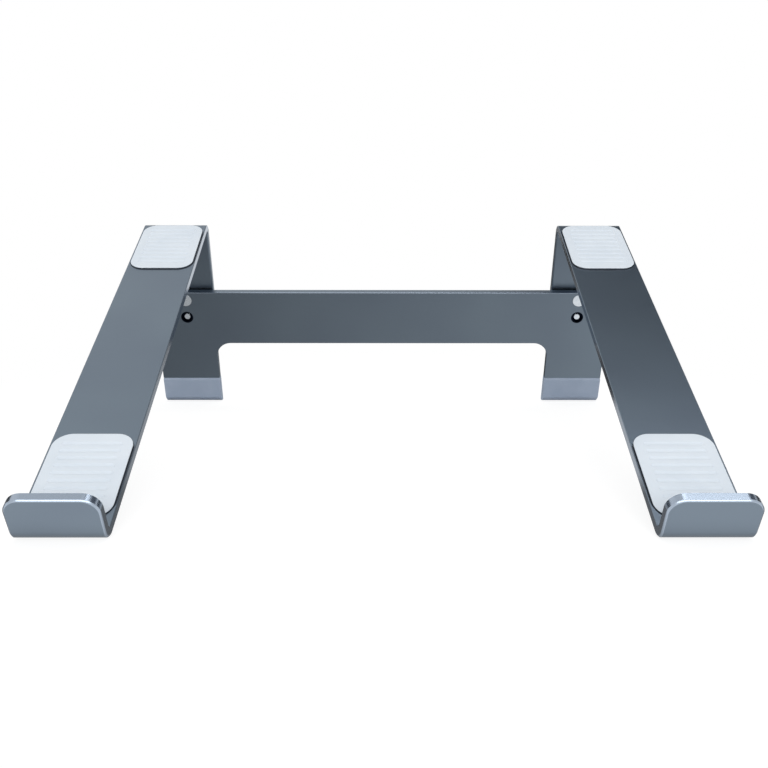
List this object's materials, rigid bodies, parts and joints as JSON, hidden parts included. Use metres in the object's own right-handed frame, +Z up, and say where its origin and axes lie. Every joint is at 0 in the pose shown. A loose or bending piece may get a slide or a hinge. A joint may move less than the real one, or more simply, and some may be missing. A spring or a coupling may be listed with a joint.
{
  "type": "adjustable laptop stand",
  "caption": "Bent aluminium arms with upturned lips on a crossbar plate with soft feet, to hold a laptop at a slope above a desk; the arms' slotted rear legs slide to set the height.",
  "frame": {"origin": "the middle of the footprint's box, on the desk", "axes": "+Z up, -Y towards the user and the lips, +X to the user's right"},
  "size_m": [0.2658, 0.2572, 0.107],
  "materials": {
    "arm": "blue-grey anodised",
    "crossbar": "blue-grey anodised",
    "foot_cap": "matt",
    "ribbed_pad": "satin silicone",
    "lip_pad": "satin silicone",
    "front_foot": "matt",
    "spacer": "moulded acetal",
    "guide_pin": "turned",
    "threaded_bush": "black oxide",
    "clamp_screw": "turned",
    "washer": "stamped, plated"
  },
  "bodies": {
    "crossbar_frame": {"crossbar": "crossbar", "left_foot_cap": "foot_cap", "right_foot_cap": "foot_cap", "left_guide_pin": "guide_pin", "right_guide_pin": "guide_pin", "left_threaded_bush": "threaded_bush", "right_threaded_bush": "threaded_bush", "left_clamp_screw": "clamp_screw", "right_clamp_screw": "clamp_screw", "left_spacer": "spacer", "right_spacer": "spacer", "left_pin_washer": "washer", "right_pin_washer": "washer", "left_screw_washer": "washer", "right_screw_washer": "washer"},
    "left_arm_body": {"left_arm": "arm", "left_front_pad": "ribbed_pad", "left_rear_pad": "ribbed_pad", "left_lip_pad": "lip_pad", "left_front_foot": "front_foot"},
    "right_arm_body": {"right_arm": "arm", "right_front_pad": "ribbed_pad", "right_rear_pad": "ribbed_pad", "right_lip_pad": "lip_pad", "right_front_foot": "front_foot"}
  },
  "joints": [
    {"name": "left_height", "type": "slide", "parent": "crossbar_frame", "child": "left_arm_body", "axis": [0, -0.3256, 0.9455], "range_m": [0, 0.02]},
    {"name": "right_height", "type": "slide", "parent": "crossbar_frame", "child": "right_arm_body", "axis": [0, -0.3256, 0.9455], "range_m": [0, 0.02]}
  ]
}
